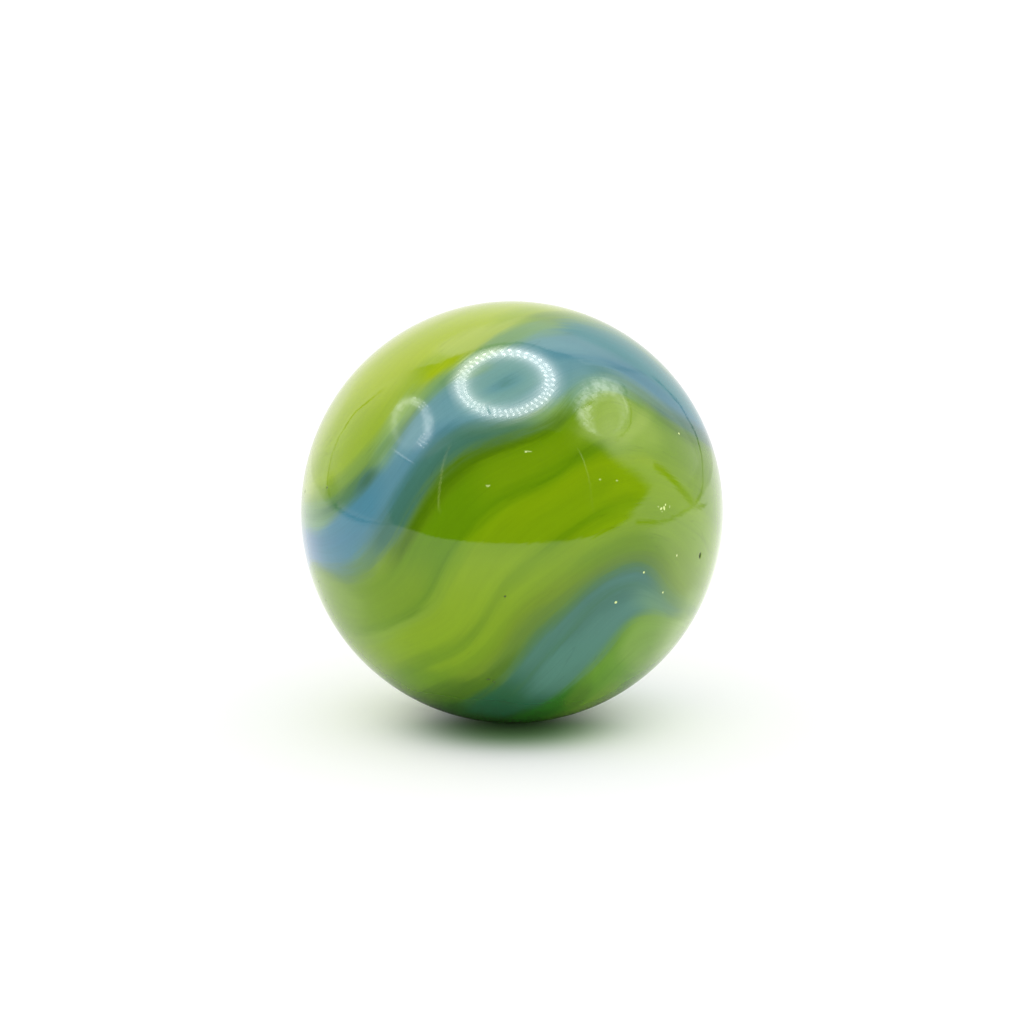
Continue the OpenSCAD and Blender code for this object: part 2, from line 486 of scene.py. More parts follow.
strip("ring_right_shade", [(0.512, 0.592), (0.545, 0.540), (0.567, 0.480), (0.560, 0.410), (0.530, 0.370), (0.480, 0.330)], 0.30, 0.1, (0.6, 0.9, 0.9, 0.9, 0.7, 0.4), dist=9.3)
strip("ring_right_mark", [(0.322, 0.490), (0.350, 0.505), (0.397, 0.530)], 0.34, 0.0, (0.9, 1, 0.5), dist=8.6)
strip("patch_right", [(0.440, 0.300), (0.520, 0.345), (0.600, 0.410), (0.650, 0.480), (0.670, 0.540)], 2.3, (2.5, 2.6, 2.3, 1.9, 1.5), (0.5, 0.8, 0.8, 0.55, 0.3), colour=(1.0, 1.0, 0.75))

# ---------------------------------------------------------------- the ball's surface
def cube_sphere(n):
    """Unit directions of an evenly spread cube-sphere and its quads, with shared edges."""
    t = np.tan(np.linspace(-1, 1, n + 1) * math.pi / 4)
    u, v = np.meshgrid(t, t, indexing="ij")
    one = np.ones_like(u)
    sides = [(one, u, v), (-one, -u, v), (-u, one, v), (u, -one, v), (u, v, one), (-u, v, -one)]
    pts, quads, base = [], [], 0
    idx = np.arange((n + 1) * (n + 1)).reshape(n + 1, n + 1)
    for s in sides:
        p = np.stack([c.ravel() for c in s], 1)
        p /= np.linalg.norm(p, axis=1)[:, None]
        pts.append(p)
        q = np.stack([idx[:-1, :-1], idx[1:, :-1], idx[1:, 1:], idx[:-1, 1:]], -1).reshape(-1, 4) + base
        quads.append(q)
        base += len(p)
    pts, quads = np.concatenate(pts), np.concatenate(quads)
    key = np.round(pts * 1e6).astype(np.int64)
    _, first, inverse = np.unique(key, axis=0, return_index=True, return_inverse=True)
    inverse = inverse.reshape(-1)
    return pts[first], inverse[quads]



# the flow: strata that loop round a tilted axis, given by the lines the strands follow on the front
POLE = -0.45 * CAM_RIGHT + 0.89 * CAM_UP
POLE /= np.linalg.norm(POLE)
FACE = CAM_BACK - (CAM_BACK @ POLE) * POLE
FACE /= np.linalg.norm(FACE)
EAST = np.cross(FACE, POLE)
EAST *= np.sign(EAST @ CAM_RIGHT)

# each strand: its level in the strata, how far it wanders behind, and its path on the front
STRANDS = [
    (0.549, 0.5, "-.96,.29 -.86,.41 -.77,.52 -.66,.62 -.55,.73 -.44,.81 -.32,.88 -.2,.93 -.08,.97 .01,1.0"),
    (0.896, 0.6, "-1,.04 -.92,.04 -.85,.05 -.79,.11 -.73,.17 -.67,.24 -.61,.32 -.54,.4 -.47,.49 -.41,.57 -.35,.63 -.28,.68 -.2,.75 -.13,.8 -.06,.85 .02,.89 .1,.92 .2,.93 .31,.92 .42,.9 .47,.88"),
    (1.150, 1.0, "-.99,-.16 -.91,-.13 -.83,-.09 -.76,-.03 -.67,.06 -.59,.17 -.51,.28 -.43,.39 -.34,.47 -.25,.54 -.15,.58 -.06,.63 .04,.68 .13,.72 .23,.75 .32,.76 .42,.74 .51,.71 .61,.66 .7,.59 .79,.52 .88,.43"),
    (1.394, 1.0, "-.94,-.28 -.89,-.3 -.81,-.33 -.76,-.35 -.7,-.33 -.63,-.29 -.58,-.23 -.53,-.16 -.49,-.09 -.46,-.03 -.42,.03 -.38,.1 -.32,.16 -.25,.22 -.15,.28 -.06,.32 .04,.36 .13,.39 .21,.44 .26,.5 .3,.56 .36,.61 .43,.62 .5,.6 .57,.56 .63,.52 .7,.47 .77,.42 .84,.38 .9,.35 .93,.33"),
    (1.622, 1.0, "-.81,-.58 -.72,-.57 -.63,-.55 -.53,-.51 -.46,-.48 -.4,-.43 -.36,-.37 -.34,-.31 -.3,-.24 -.27,-.19 -.23,-.14 -.19,-.09 -.15,-.04 -.1,0 -.05,.04 .01,.07 .08,.11 .16,.14 .22,.17 .27,.22 .33,.26 .38,.3 .44,.32 .52,.35 .61,.35 .7,.32 .8,.27 .89,.2 .98,.12"),
    (1.890, 0.9, "-.57,-.79 -.48,-.74 -.39,-.69 -.3,-.66 -.23,-.62 -.17,-.56 -.12,-.49 -.09,-.42 -.05,-.36 0,-.31 .04,-.27 .09,-.22 .15,-.18 .21,-.13 .26,-.09 .32,-.05 .38,-.01 .44,.02 .52,.04 .61,.06 .68,.06 .76,.03 .84,-.01 .92,-.05 .99,-.1"),
    (2.106, 0.8, "-.41,-.89 -.32,-.85 -.22,-.8 -.14,-.74 -.08,-.68 -.03,-.61 .01,-.54 .07,-.48 .12,-.44 .18,-.41 .24,-.37 .3,-.32 .36,-.28 .42,-.24 .47,-.21 .54,-.18 .61,-.16 .68,-.17 .74,-.21 .78,-.25 .82,-.31 .86,-.36 .91,-.39"),
    (2.229, 0.7, "-.27,-.94 -.2,-.92 -.13,-.88 -.07,-.84 -.02,-.78 .02,-.74 .07,-.69 .11,-.64 .16,-.58 .21,-.52 .26,-.46 .32,-.4 .37,-.35 .43,-.31 .48,-.28 .54,-.26 .61,-.25 .65,-.27 .69,-.31 .72,-.36 .75,-.4 .8,-.43 .85,-.45 .9,-.46"),
    (2.315, 0.6, "-.12,-.97 -.05,-.93 .01,-.87 .08,-.81 .13,-.74 .18,-.67 .23,-.62 .28,-.56 .33,-.51 .37,-.47 .43,-.43 .48,-.4 .54,-.38 .61,-.37 .66,-.39 .7,-.42 .75,-.45 .8,-.47 .89,-.49"),
    (2.479, 0.5, "-.06,-1 .04,-.97 .12,-.93 .19,-.88 .26,-.83 .32,-.77 .38,-.71 .43,-.66 .47,-.6 .51,-.56 .55,-.51 .61,-.48 .66,-.47 .72,-.48 .79,-.5 .86,-.52"),
    (2.672, 0.3, ".16,-.99 .25,-.95 .35,-.89 .43,-.82 .49,-.74 .55,-.69 .6,-.65 .65,-.62 .72,-.6 .8,-.6"),
]


def flow_field():
    """A smooth function on the sphere whose level lines are the strands."""
    at, level = [POLE, -POLE], [0.0, 3.12]
    for value, wander, path in STRANDS:
        for point in path.split():
            x, y = (float(c) for c in point.split(","))
            r = math.hypot(x, y)
            if r > 0.999:
                x, y = x * 0.999 / r, y * 0.999 / r
            at.append(on_ball(x, y)[0])
            level.append(value)
        for phi, g in ((110, 0.24), (140, 0.10), (180, -0.16), (220, -0.08), (250, 0.12)):
            th = min(max(value + wander * g, 0.05), 3.1)
            ph = math.radians(phi)
            at.append(POLE * math.cos(th) + math.sin(th) * (FACE * math.cos(ph) + EAST * math.sin(ph)))
            level.append(value)
    at, level = np.array(at), np.array(level)
    n = len(at)
    gap = np.linalg.norm(at[:, None] - at[None], axis=2)
    ends = np.hstack([np.ones((n, 1)), at])
    m = np.block([[gap ** 3 + 2e-3 * np.eye(n), ends], [ends.T, np.zeros((4, 4))]])
    w = np.linalg.solve(m, np.concatenate([level, np.zeros(4)]))

    def psi_of(p):
        out = np.empty(len(p))
        for i in range(0, len(p), 20000):
            q = p[i:i + 20000]
            d = np.linalg.norm(q[:, None] - at[None], axis=2)
            out[i:i + 20000] = d ** 3 @ w[:-4] + w[-4] + q @ w[-3:]
        return out
    return psi_of


def tint(r, g, b):
    c = np.array([r, g, b], float) / 255.0
    return np.where(c <= 0.04045, c / 12.92, ((c + 0.055) / 1.055) ** 2.4)


GLASS = {
    "lime": tint(154,174,0), "citron": tint(167,182,64), "olive": tint(130,158,10), "moss": tint(104,138,50), "sea_grey": tint(93,139,128),
    "pale_lime": tint(162,179,88), "leaf": tint(118,150,5), "grass": tint(104,138,5), "deep": tint(88,127,3),
    "bottle": tint(64,100,0), "umber": tint(96,124,16), "seaweed": tint(72,108,50), "sage": tint(116,148,40),
    "grey_green": tint(108,146,94), "edge_green": tint(54,103,64), "deep_teal": tint(52,99,86),
    "blue": tint(72,121,134), "violet": tint(76,118,152), "steel": tint(100,143,148), "dark_blue": tint(50,114,134),
    "sea": tint(46,120,124),
    "lagoon": tint(60,107,97), "lagoon_pale": tint(70,118,109), "lagoon_dark": tint(44,92,60),
    "forest": tint(8,70,6), "fir": tint(12,94,2), "deep_sea": tint(10,80,58), "spring": tint(108,148,30), "mist": tint(150,178,110),
    "meadow": tint(127,156,46), "fern": tint(73,114,20), "jade": tint(84,133,22), "bottle_green": tint(46,106,0), "pale_jade": tint(112,149,58), "haze_green": tint(132,163,84),
}


def flow_line(stations, values, phi):
    """A soft curve through the stations."""
    x, y = np.array(stations, float), np.array(values, float)
    if len(x) < 3:
        return np.interp(phi, x, y)
    slope = np.gradient(y, x)
    i = np.clip(np.searchsorted(x, phi) - 1, 0, len(x) - 2)
    h = x[i + 1] - x[i]
    t = np.clip((phi - x[i]) / h, 0, 1)
    return ((2 * t ** 3 - 3 * t ** 2 + 1) * y[i] + (t ** 3 - 2 * t ** 2 + t) * h * slope[i]
            + (3 * t ** 2 - 2 * t ** 3) * y[i + 1] + (t ** 3 - t ** 2) * h * slope[i + 1])


def paint(psi, phi):
    """The glass colour at psi, across the strata, and phi, round the ball in degrees from the front."""
    col = np.tile(GLASS["lime"], (len(psi), 1))

    def loop(top, bottom):
        return [(-180, top, bottom), (180, top, bottom)]

    def s(colour, rows, soft, strength=1.0, fade=14.0):
        """One streak: rows of (phi, upper edge, lower edge), with soft edges and faded ends."""
        x = [r[0] for r in rows]
        ph, m = phi, np.ones_like(phi)
        if x[-1] - x[0] < 359.0:
            mid = 0.5 * (x[0] + x[-1])
            ph = mid + (phi - mid + 180.0) % 360.0 - 180.0
            m = smooth(ph, x[0] - fade / 2, x[0] + fade / 2) * (1.0 - smooth(ph, x[-1] - fade / 2, x[-1] + fade / 2))
        top, bottom = flow_line(x, [r[1] for r in rows], ph), flow_line(x, [r[2] for r in rows], ph)
        up, down = soft if isinstance(soft, tuple) else (soft, soft)
        m = m * smooth(psi, top - up, top + up) * (1.0 - smooth(psi, bottom - down, bottom + down)) * strength
        col[:] += (GLASS[colour] - col) * m[:, None]

    # full turns of the ball, from the upper pole down
    # citron round the upper pole: partly the glass's own colour, partly painted reflection, the pale rim at the top of
    # the ball
    s("citron", loop(-1, 0.38), 0.07, 0.8)
    s("olive", loop(0.84, 1.5), 0.07, 0.6)
    s("blue", loop(0.97, 1.34), (0.08, 0.08))
    s("deep", loop(1.38, 1.70), 0.07)
    s("leaf", loop(1.70, 4.0), 0.08)
    s("grass", loop(1.90, 4.0), 0.06, 0.6)
    s("umber", loop(2.04, 4.0), 0.06, 0.7)
    s("lagoon", loop(2.215, 2.515), (0.045, 0.065))
    s("jade", loop(2.50, 4.0), 0.07)

    # the cap
    # pale lime towards the left edge: partly the glass's own colour, partly painted reflection, the pale rim at the
    # upper left
    s("pale_lime", [(-120, 0.30, 0.80), (-74, 0.36, 0.78), (-60, 0.40, 0.62), (-50, 0.42, 0.50)], (0.10, 0.10), 0.75, 16)
    s("olive", [(-80, 0.66, 0.94), (-60, 0.58, 0.94), (-40, 0.58, 0.94), (-22, 0.66, 0.90), (-6, 0.72, 0.82)], (0.09, 0.05), 0.9, 20)
    # more pale lime at the left edge: partly painted reflection of the pale rim
    s("pale_lime", [(-130, 0.50, 0.88), (-80, 0.52, 0.90), (-66, 0.54, 0.86)], (0.08, 0.05), 0.6, 16)
    s("moss", [(-70, 0.84, 0.94), (-54, 0.79, 0.94), (-40, 0.77, 0.93), (-26, 0.80, 0.92)], (0.08, 0.05), 0.95, 16)
    # grey green below the mirrored lamp ring at the upper left: painted reflection, the ring's pale haze
    s("grey_green", [(-30, 0.78, 0.88), (-20, 0.76, 0.88), (-8, 0.80, 0.88)], (0.04, 0.03), 0.4, 10)
    s("moss", [(-110, 0.82, 0.98), (-74, 0.82, 0.97), (-64, 0.86, 0.94)], 0.05, 0.5, 12)
    s("olive", [(-12, 0.70, 0.78), (0, 0.74, 0.81), (14, 0.80, 0.85)], 0.035, 0.75, 12)
    s("pale_lime", [(2, 0.69, 0.76), (12, 0.72, 0.88), (24, 0.75, 0.93), (34, 0.80, 0.92), (48, 0.85, 0.90)], (0.05, 0.03), 0.6, 14)
    s("olive", [(34, 0.77, 0.86), (48, 0.73, 0.86), (66, 0.72, 0.84)], 0.06, 0.6, 18)
    # pale lime towards the right edge: partly the glass's own colour, partly painted reflection of the pale rim
    s("pale_lime", [(66, 0.72, 0.86), (80, 0.66, 0.88), (120, 0.66, 0.86)], (0.06, 0.04), 0.35, 14)

    # the upper blue band: its upper edge
    s("grey_green", [(-80, 0.89, 1.06), (-62, 0.90, 1.09), (-50, 0.90, 1.0)], (0.04, 0.06), 0.85, 10)
    s("edge_green", [(-62, 0.92, 1.0), (-50, 0.90, 1.03), (-40, 0.89, 1.06), (-32, 0.92, 1.06)], (0.05, 0.07), 0.88, 16)
    s("deep_teal", [(-41, 0.96, 1.03), (-36, 0.93, 1.05), (-31.5, 0.97, 1.05)], 0.035, 1.0, 7)
    s("lagoon_dark", [(-39, 0.97, 1.02), (-35, 0.96, 1.03), (-32, 0.98, 1.03)], 0.03, 0.7, 5)
    s("grey_green", [(-32, 0.86, 1.02), (-29, 0.86, 1.06), (-25, 0.86, 1.06), (-18, 0.86, 0.96), (-8, 0.86, 0.94), (2, 0.88, 0.94)], (0.04, 0.06), 0.7, 8)
    s("edge_green", [(-24, 0.94, 1.04), (-16, 0.93, 1.03), (-4, 0.94, 0.99)], (0.04, 0.04), 0.6, 10)
    s("edge_green", [(-78, 0.93, 1.02), (-62, 0.93, 1.02)], 0.05, 0.35, 10)
    s("edge_green", [(50, 0.91, 0.97), (58, 0.90, 0.96), (66, 0.90, 0.95)], 0.03, 0.4, 10)
    s("edge_green", [(-36, 0.90, 0.96), (-28, 0.89, 0.96), (-18, 0.89, 0.94)], 0.03, 0.35, 8)
    s("grey_green", [(-10, 0.90, 1.02), (6, 0.90, 1.04), (24, 0.90, 1.03), (40, 0.91, 1.04), (54, 0.90, 1.00)], (0.03, 0.06), 0.9, 14)
    s("leaf", [(40, 0.88, 0.92), (50, 0.87, 0.92), (60, 0.86, 0.90)], (0.03, 0.03), 0.6, 12)
    s("edge_green", [(-4, 0.93, 0.98), (4, 0.92, 0.98), (12, 0.93, 0.98)], 0.03, 0.22, 8)
    s("moss", [(50, 0.87, 0.96), (60, 0.86, 0.96), (72, 0.85, 0.94), (110, 0.86, 0.94)], (0.03, 0.04), 0.8, 12)
    s("sea", [(50, 1.00, 1.06), (60, 0.94, 1.14), (72, 0.92, 1.22), (100, 0.94, 1.16)], (0.04, 0.06), 0.9, 12)
    # its body
    s("violet", [(-100, 1.12, 1.34), (-64, 1.12, 1.34), (-52, 1.18, 1.32), (-46, 1.22, 1.28)], 0.06, 0.7, 14)
    s("dark_blue", [(-66, 1.10, 1.24), (-52, 1.06, 1.26), (-40, 1.05, 1.24), (-32, 1.08, 1.22)], 0.05, 0.7, 12)
    s("steel", [(-24, 1.02, 1.14), (-10, 0.99, 1.20), (2, 1.0, 1.30), (22, 1.02, 1.32), (32, 1.03, 1.40), (40, 1.06, 1.42), (47, 1.12, 1.41), (54, 1.26, 1.36)], (0.06, 0.06), 0.8, 16)
    s("sea", [(-66, 1.22, 1.33), (-52, 1.24, 1.33), (-44, 1.26, 1.31)], 0.04, 0.4, 10)
    s("sea_grey", [(2, 1.02, 1.26), (14, 1.0, 1.28), (28, 1.04, 1.26)], 0.05, 0.75, 10)
    s("grey_green", [(5, 1.00, 1.03), (10, 1.01, 1.05), (17, 1.03, 1.06)], 0.025, 0.6, 6)
    s("dark_blue", [(9, 1.16, 1.19), (15, 1.155, 1.20), (22, 1.16, 1.20)], 0.03, 0.5, 8)
    s("edge_green", [(14, 1.172, 1.182), (17, 1.168, 1.184), (20, 1.172, 1.182)], 0.012, 0.5, 4)
    s("dark_blue", [(34, 1.10, 1.17), (46, 1.13, 1.23), (58, 1.14, 1.24), (80, 1.14, 1.24)], 0.05, 0.55, 14)
    s("steel", [(36, 1.00, 1.11), (46, 1.02, 1.17), (56, 1.05, 1.16)], 0.04, 0.55, 10)
    # its lower edge
    s("edge_green", [(-90, 1.33, 1.41), (-66, 1.33, 1.41), (-52, 1.32, 1.39), (-40, 1.32, 1.37)], (0.04, 0.04), 0.6, 12)
    s("deep_teal", [(-42, 1.29, 1.36), (-32, 1.27, 1.375), (-18, 1.27, 1.38), (-4, 1.29, 1.385), (6, 1.325, 1.39), (14, 1.34, 1.39), (20, 1.36, 1.40)], (0.06, 0.03), 0.92, 12)
    s("grey_green", [(16, 1.34, 1.38), (24, 1.36, 1.40), (34, 1.40, 1.44), (48, 1.34, 1.42)], (0.05, 0.04), 0.6, 12)
    s("deep_teal", [(50, 1.36, 1.41), (58, 1.31, 1.42), (70, 1.27, 1.42), (90, 1.28, 1.42)], (0.06, 0.03), 0.9, 14)
    s("deep", [(54, 1.41, 1.48), (62, 1.41, 1.52), (74, 1.42, 1.56), (92, 1.42, 1.54)], (0.02, 0.05), 0.8, 10)
    s("bottle", [(53, 1.42, 1.46), (60, 1.42, 1.49), (68, 1.42, 1.48)], 0.03, 0.6, 8)
    s("edge_green", [(44, 1.28, 1.36), (50, 1.27, 1.35), (56, 1.28, 1.35)], 0.03, 0.35, 8)

    # the green between the bands
    s("grass", [(-85, 1.40, 1.62), (-60, 1.42, 1.62), (-44, 1.42, 1.60), (-28, 1.48, 1.60)], 0.05, 0.85, 14)
    s("sage", [(-120, 1.36, 1.64), (-80, 1.36, 1.64), (-64, 1.37, 1.60), (-52, 1.46, 1.50)], 0.05, 0.6, 14)
    s("umber", [(-34, 1.39, 1.43), (-20, 1.39, 1.44), (0, 1.39, 1.43), (14, 1.40, 1.43)], 0.025, 0.4, 14)
    s("bottle", [(-36, 1.375, 1.42), (-18, 1.375, 1.43), (-2, 1.38, 1.43), (14, 1.39, 1.43), (28, 1.40, 1.43)], 0.025, 0.9, 12)
    s("grass", [(-4, 1.44, 1.58), (14, 1.44, 1.58), (30, 1.46, 1.60), (60, 1.50, 1.85), (85, 1.45, 1.9)], 0.05, 0.85, 14)
    s("sage", [(26, 1.46, 1.60), (36, 1.46, 1.68), (50, 1.44, 1.60)], 0.05, 0.45, 12)
    s("leaf", [(-85, 1.63, 1.9), (-56, 1.64, 1.90), (-30, 1.655, 1.94), (-16, 1.68, 1.88), (2, 1.64, 1.70)], (0.03, 0.05), 0.9, 16)
    s("sage", [(-75, 1.63, 1.69), (-56, 1.63, 1.69), (-40, 1.63, 1.67), (-26, 1.64, 1.66)], 0.025, 0.7, 12)
    s("grass", [(-14, 1.66, 1.72), (4, 1.68, 1.88), (22, 1.68, 1.86), (34, 1.70, 1.74)], 0.05, 0.6, 14)
    s("meadow", [(27, 1.49, 1.56), (32, 1.46, 1.62), (38, 1.46, 1.66), (45, 1.46, 1.66), (50, 1.48, 1.62)], (0.04, 0.05), 0.75, 7)
    s("leaf", [(32, 1.70, 1.88), (46, 1.76, 1.90), (60, 1.8, 1.9)], 0.05, 0.9, 14)
    s("leaf", [(-36, 1.625, 1.66), (-10, 1.625, 1.67), (10, 1.625, 1.675), (22, 1.63, 1.68)], 0.02, 0.4, 10)
    s("bottle", [(-46, 1.606, 1.614), (-30, 1.605, 1.614), (0, 1.605, 1.614), (22, 1.606, 1.618), (34, 1.62, 1.632)], 0.009, 0.38, 12)
    # the darker strands below it
    s("grass", [(-66, 1.83, 1.92), (-40, 1.84, 1.92), (-14, 1.87, 1.92), (6, 1.87, 1.93), (24, 1.86, 1.93), (36, 1.87, 1.92)], 0.03, 0.95, 12)
    s("deep", [(-60, 1.885, 1.93), (-40, 1.885, 1.93), (-20, 1.89, 1.92)], 0.02, 0.45, 10)
    s("deep", [(2, 1.89, 1.91), (14, 1.88, 1.92), (24, 1.89, 1.92)], 0.018, 0.65, 10)
    s("leaf", [(-56, 1.94, 1.96), (-36, 1.94, 1.99), (-16, 1.94, 2.02), (4, 1.96, 1.99), (22, 1.95, 1.98), (34, 1.94, 1.98)], 0.03, 0.6, 14)
    s("grass", [(-50, 1.98, 2.06), (-34, 2.0, 2.08), (-14, 2.03, 2.06)], 0.03, 0.6, 12)
    s("deep", [(-90, 1.84, 2.1), (-70, 1.86, 2.1), (-56, 1.90, 2.1), (-46, 1.98, 2.1)], (0.06, 0.06), 0.7, 14)
    # the darkest greens at the lower left, on the underside next to the floor, are partly painted shade: darker towards
    # the bottom
    s("bottle", [(-90, 2.07, 2.4), (-66, 2.05, 2.4), (-48, 2.07, 2.4), (-34, 2.16, 2.4)], (0.05, 0.1), 0.88, 14)
    s("sage", [(30, 1.96, 2.0), (42, 1.90, 2.14), (54, 1.88, 2.20), (66, 1.90, 2.24), (80, 1.91, 2.24), (110, 1.99, 2.16), (140, 2.08, 2.08)], 0.07, 0.45, 16)
    s("seaweed", [(-34, 2.12, 2.20), (-20, 2.12, 2.20), (4, 2.13, 2.20), (24, 2.13, 2.20), (40, 2.14, 2.22)], (0.05, 0.03), 0.55, 14)
    s("deep", [(8, 2.03, 2.12), (24, 2.03, 2.14), (40, 2.04, 2.14)], 0.03, 0.5, 14)
    s("forest", [(-100, 2.15, 2.5), (-66, 2.15, 2.5), (-50, 2.155, 2.44), (-40, 2.18, 2.3)], (0.05, 0.08), 0.88, 14)
    s("haze_green", [(48, 2.20, 2.5), (58, 2.10, 2.6), (74, 2.07, 2.6), (96, 2.24, 2.54), (128, 2.46, 2.44)], 0.09, 0.75, 16)

    # the lower blue band
    s("edge_green", [(-30, 2.19, 2.24), (0, 2.195, 2.24), (22, 2.20, 2.235), (34, 2.205, 2.23)], 0.028, 0.6, 12)
    s("bottle", [(-58, 2.13, 2.22), (-44, 2.13, 2.225), (-32, 2.14, 2.215), (-20, 2.16, 2.20)], (0.04, 0.02), 0.8, 12)
    s("deep_sea", [(-70, 2.25, 2.40), (-54, 2.205, 2.46), (-42, 2.205, 2.48), (-34, 2.22, 2.48), (-26, 2.24, 2.47)], (0.03, 0.05), 0.88, 24)
    # painted shade as well: darker greens on the underside at the lower left
    s("forest", [(-110, 2.20, 2.5), (-74, 2.24, 2.52), (-60, 2.30, 2.5)], 0.08, 0.8, 16)
    s("forest", [(-64, 2.40, 2.54), (-50, 2.41, 2.54), (-40, 2.44, 2.53)], 0.03, 0.75, 10)
    s("lagoon_pale", [(-28, 2.34, 2.40), (-10, 2.33, 2.45), (6, 2.36, 2.48), (22, 2.36, 2.47), (36, 2.28, 2.44)], (0.03, 0.06), 0.9, 26)
    s("lagoon_pale", [(-22, 2.25, 2.275), (-4, 2.25, 2.28), (14, 2.26, 2.28), (30, 2.24, 2.30)], 0.02, 0.4, 12)
    s("edge_green", [(-34, 2.29, 2.31), (-16, 2.295, 2.315), (4, 2.30, 2.32), (20, 2.295, 2.315), (30, 2.29, 2.30)], 0.014, 0.45, 10)
    s("moss", [(34, 2.20, 2.32), (44, 2.18, 2.34), (56, 2.2, 2.3)], 0.06, 0.6, 14)
    s("grey_green", [(26, 2.32, 2.44), (36, 2.32, 2.50), (50, 2.34, 2.5)], 0.06, 0.5, 14)
    # the green below it
    s("fir", [(-120, 2.42, 2.62), (-60, 2.43, 2.64), (-40, 2.45, 2.64), (-22, 2.47, 2.64), (-8, 2.50, 2.60)], (0.04, 0.08), 0.92, 16)
    s("fern", [(-30, 2.57, 2.66), (-23, 2.54, 2.68), (-15, 2.52, 2.68), (-4, 2.53, 2.64)], (0.03, 0.05), 0.85, 10)
    s("spring", [(-110, 2.74, 3.0), (-50, 2.72, 3.0), (-24, 2.70, 3.0), (0, 2.72, 3.0), (16, 2.78, 3.0)], 0.08, 0.85, 20)
    s("pale_jade", [(12, 2.56, 2.62), (20, 2.53, 2.74), (28, 2.48, 2.86), (44, 2.42, 2.95), (74, 2.41, 2.95), (100, 2.56, 2.90), (134, 2.80, 2.84)], (0.07, 0.1), 0.9, 16)
    s("haze_green", [(40, 2.50, 2.9), (52, 2.42, 2.9), (74, 2.41, 2.9), (96, 2.58, 2.84), (122, 2.78, 2.76)], 0.1, 0.85, 16)
    s("mist", [(50, 2.50, 2.86), (62, 2.38, 2.86), (74, 2.37, 2.85), (92, 2.52, 2.80), (116, 2.72, 2.70)], 0.09, 0.9, 14)
    s("bottle", [(2, 2.63, 2.65), (12, 2.64, 2.66), (22, 2.66, 2.675)], 0.014, 0.3, 8)

    # strands on the far side
    s("moss", [(118, 0.66, 0.80), (150, 0.60, 0.76), (186, 0.58, 0.70), (214, 0.62, 0.72)], 0.06, 0.7, 24)
    s("pale_lime", [(150, 0.44, 0.50), (182, 0.42, 0.54), (216, 0.46, 0.56)], 0.05, 0.6, 24)
    s("grey_green", [(104, 0.90, 1.02), (140, 0.88, 1.0), (186, 0.88, 1.04), (236, 0.90, 1.04), (276, 0.89, 1.04)], (0.04, 0.06), 0.85, 18)
    s("edge_green", [(128, 0.92, 0.98), (160, 0.93, 1.0), (198, 0.92, 0.97)], 0.035, 0.7, 18)
    s("steel", [(126, 1.06, 1.18), (160, 1.08, 1.24), (204, 1.04, 1.20), (232, 1.06, 1.14)], 0.06, 0.75, 22)
    s("violet", [(190, 1.14, 1.26), (226, 1.12, 1.28), (262, 1.12, 1.30)], 0.06, 0.6, 22)
    s("dark_blue", [(100, 1.16, 1.26), (132, 1.18, 1.28), (166, 1.22, 1.28)], 0.05, 0.6, 20)
    s("deep_teal", [(96, 1.30, 1.42), (140, 1.31, 1.39), (190, 1.33, 1.39), (232, 1.31, 1.39), (270, 1.33, 1.40)], (0.06, 0.04), 0.85, 18)
    s("grass", [(104, 1.44, 1.60), (150, 1.46, 1.58), (206, 1.44, 1.62), (262, 1.42, 1.62)], 0.05, 0.7, 20)
    s("bottle", [(96, 1.60, 1.62), (140, 1.61, 1.63), (184, 1.60, 1.62), (216, 1.61, 1.62)], 0.014, 0.5, 16)
    s("sage", [(120, 1.64, 1.70), (166, 1.66, 1.74), (210, 1.65, 1.70)], 0.03, 0.7, 20)
    s("deep", [(136, 1.88, 1.93), (176, 1.86, 1.93), (222, 1.88, 1.92)], 0.03, 0.7, 18)
    s("pale_jade", [(110, 1.96, 2.04), (150, 1.98, 2.06), (196, 1.96, 2.02)], 0.04, 0.6, 20)
    s("edge_green", [(92, 2.18, 2.24), (140, 2.17, 2.23), (200, 2.18, 2.24), (262, 2.17, 2.24)], 0.03, 0.8, 18)
    s("lagoon_pale", [(104, 2.30, 2.42), (150, 2.32, 2.44), (206, 2.28, 2.38), (240, 2.30, 2.36)], 0.04, 0.8, 22)
    s("bottle_green", [(120, 2.56, 2.70), (170, 2.54, 2.74), (230, 2.50, 2.76), (272, 2.48, 2.8)], 0.06, 0.6, 24)

    return col
